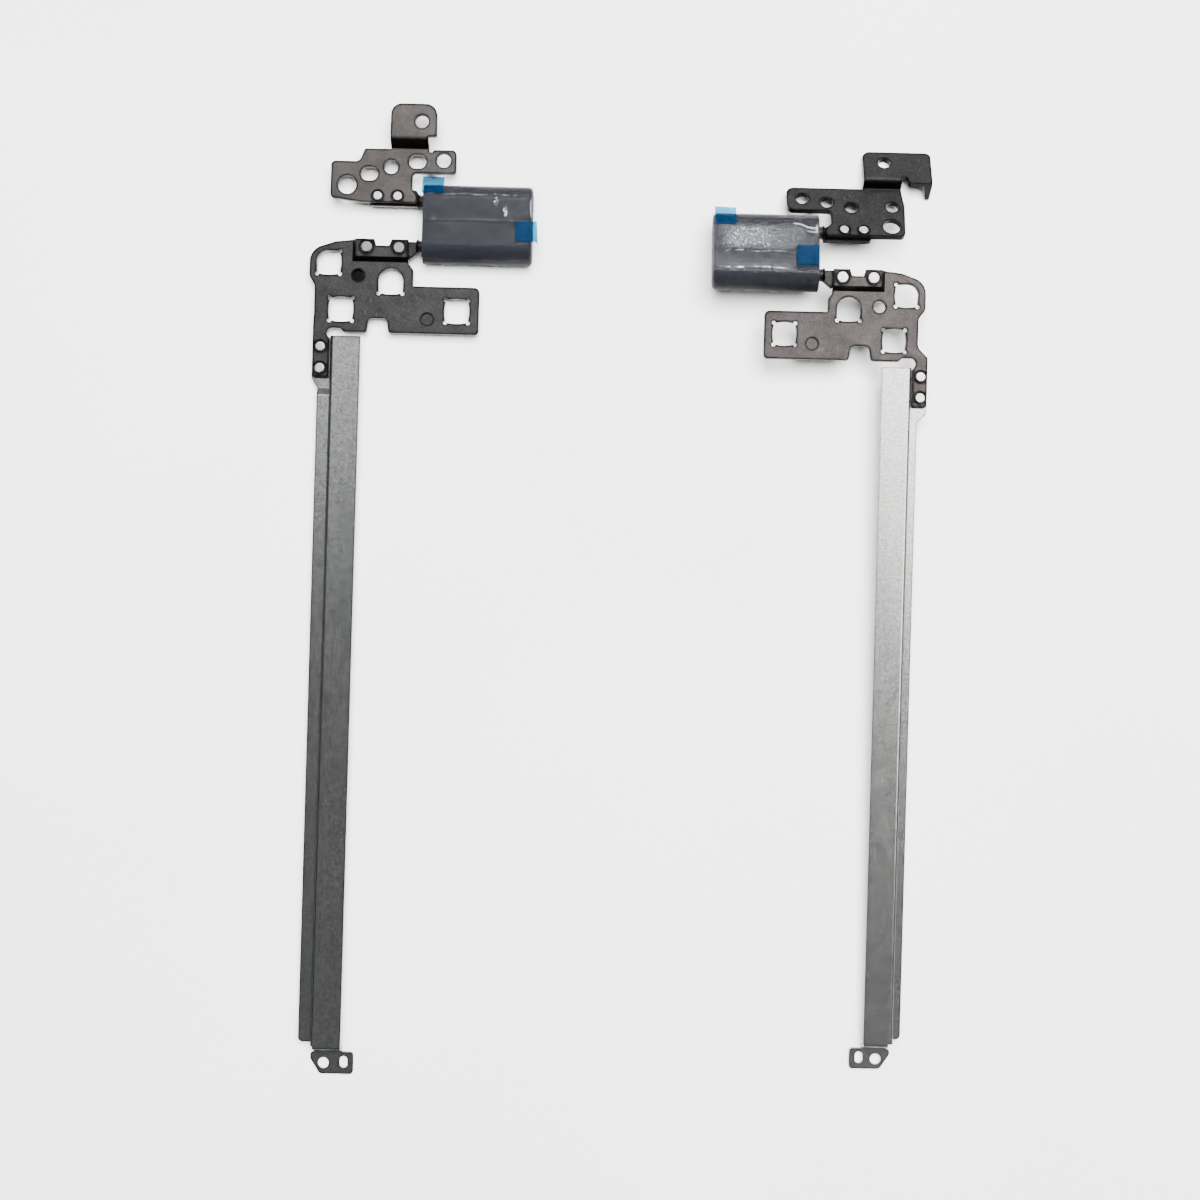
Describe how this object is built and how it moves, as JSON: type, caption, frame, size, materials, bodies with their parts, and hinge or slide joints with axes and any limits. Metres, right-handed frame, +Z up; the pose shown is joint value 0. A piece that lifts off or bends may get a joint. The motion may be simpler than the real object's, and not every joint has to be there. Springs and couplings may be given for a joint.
{
  "type": "laptop hinge pair",
  "caption": "Left and right laptop hinges: geared parallel shafts in a rounded cover, pressed brackets and long panel rails, so that the screen folds right round behind the base.",
  "frame": {"origin": "on the table under the middle of the bounding box", "axes": "+X along the hinge shafts towards the right hinge, +Y from the screen side to the keyboard side, +Z up from the table"},
  "size_m": [0.1232, 0.192, 0.0121],
  "materials": {
    "left_base_steel": "satin phosphated pressed steel, brownish grey",
    "left_lid_steel": "satin phosphated pressed steel, dark grey",
    "right_base_steel": "satin phosphated pressed steel, brownish grey",
    "right_lid_steel": "satin phosphated pressed steel, brownish grey",
    "left_rail_steel": "galvanised sheet steel",
    "right_rail_steel": "galvanised sheet steel",
    "shaft_steel": "turned steel",
    "rivet_steel": "bright plated steel",
    "gear_steel": "machined steel",
    "spring_steel": "hardened spring steel",
    "idler_brass": "machined brass",
    "cover_metal": "dark slate satin coat on die-cast metal",
    "clear_film": "clear protective film",
    "blue_film": "translucent blue pull tab"
  },
  "bodies": {
    "lid_sides": {"left_lid_bracket": "left_lid_steel", "left_panel_rail": "left_rail_steel", "left_lid_shaft": "shaft_steel", "left_lid_rivets": "rivet_steel", "left_rail_rivets": "rivet_steel", "left_lid_gear": "gear_steel", "left_lid_washer": "spring_steel", "left_lid_disc_springs": "spring_steel", "left_lid_nut": "shaft_steel", "right_lid_bracket": "right_lid_steel", "right_panel_rail": "right_rail_steel", "right_lid_shaft": "shaft_steel", "right_lid_rivets": "rivet_steel", "right_rail_rivets": "rivet_steel", "right_lid_gear": "gear_steel", "right_lid_washer": "spring_steel", "right_lid_disc_springs": "spring_steel", "right_lid_nut": "shaft_steel"},
    "left_housing": {"left_cover": "cover_metal", "left_front_plate": "gear_steel", "left_middle_plate": "gear_steel", "left_back_plate": "gear_steel", "left_friction_clips": "spring_steel", "left_idler_pins": "shaft_steel", "left_film": "clear_film", "left_film_tab_top": "blue_film", "left_film_tab_side": "blue_film"},
    "left_base_side": {"left_base_bracket": "left_base_steel", "left_base_shaft": "shaft_steel", "left_base_rivets": "rivet_steel", "left_base_gear": "gear_steel", "left_base_washer": "spring_steel", "left_base_disc_springs": "spring_steel", "left_base_nut": "shaft_steel"},
    "left_idler_a": {"left_idler_a": "idler_brass"},
    "left_idler_b": {"left_idler_b": "idler_brass"},
    "right_housing": {"right_cover": "cover_metal", "right_front_plate": "gear_steel", "right_middle_plate": "gear_steel", "right_back_plate": "gear_steel", "right_friction_clips": "spring_steel", "right_idler_pins": "shaft_steel", "right_film": "clear_film", "right_film_tab_top": "blue_film", "right_film_tab_side": "blue_film"},
    "right_base_side": {"right_base_bracket": "right_base_steel", "right_base_shaft": "shaft_steel", "right_base_rivets": "rivet_steel", "right_base_gear": "gear_steel", "right_base_washer": "spring_steel", "right_base_disc_springs": "spring_steel", "right_base_nut": "shaft_steel"},
    "right_idler_a": {"right_idler_a": "idler_brass"},
    "right_idler_b": {"right_idler_b": "idler_brass"}
  },
  "joints": [
    {"name": "left_housing_turn", "type": "hinge", "parent": "lid_sides", "child": "left_housing", "pos_m": [-0.0391, 0.06835, 0.0033], "axis": [1, 0, 0], "range_deg": [-90, 90]},
    {"name": "left_base_turn", "type": "hinge", "parent": "left_housing", "child": "left_base_side", "pos_m": [-0.0391, 0.07735, 0.0033], "axis": [1, 0, 0], "range_deg": [-90, 90]},
    {"name": "left_idler_a_spin", "type": "hinge", "parent": "left_housing", "child": "left_idler_a", "pos_m": [-0.0366, 0.0715, 0.0033], "axis": [1, 0, 0], "range_deg": [-121, 121]},
    {"name": "left_idler_b_spin", "type": "hinge", "parent": "left_housing", "child": "left_idler_b", "pos_m": [-0.0366, 0.0742, 0.0033], "axis": [1, 0, 0], "range_deg": [-121, 121]},
    {"name": "right_housing_turn", "type": "hinge", "parent": "lid_sides", "child": "right_housing", "pos_m": [0.0387, 0.06355, 0.00875], "axis": [1, 0, 0], "range_deg": [-75.5, 104.5]},
    {"name": "right_base_turn", "type": "hinge", "parent": "right_housing", "child": "right_base_side", "pos_m": [0.0387, 0.07234, 0.0068], "axis": [1, 0, 0], "range_deg": [-75.5, 104.5]},
    {"name": "right_idler_a_spin", "type": "hinge", "parent": "right_housing", "child": "right_idler_a", "pos_m": [0.0362, 0.06663, 0.00807], "axis": [1, 0, 0], "range_deg": [-101.67, 140.33]},
    {"name": "right_idler_b_spin", "type": "hinge", "parent": "right_housing", "child": "right_idler_b", "pos_m": [0.0362, 0.06926, 0.00748], "axis": [1, 0, 0], "range_deg": [-140.33, 101.67]}
  ],
  "couplings": [
    {"joint": "left_base_turn", "follows": "left_housing_turn", "ratio": 1},
    {"joint": "left_idler_a_spin", "follows": "left_housing_turn", "ratio": 1.3333},
    {"joint": "left_idler_b_spin", "follows": "left_housing_turn", "ratio": -1.3333},
    {"joint": "right_base_turn", "follows": "right_housing_turn", "ratio": 1},
    {"joint": "right_idler_a_spin", "follows": "right_housing_turn", "ratio": 1.3333},
    {"joint": "right_idler_b_spin", "follows": "right_housing_turn", "ratio": -1.3333}
  ]
}
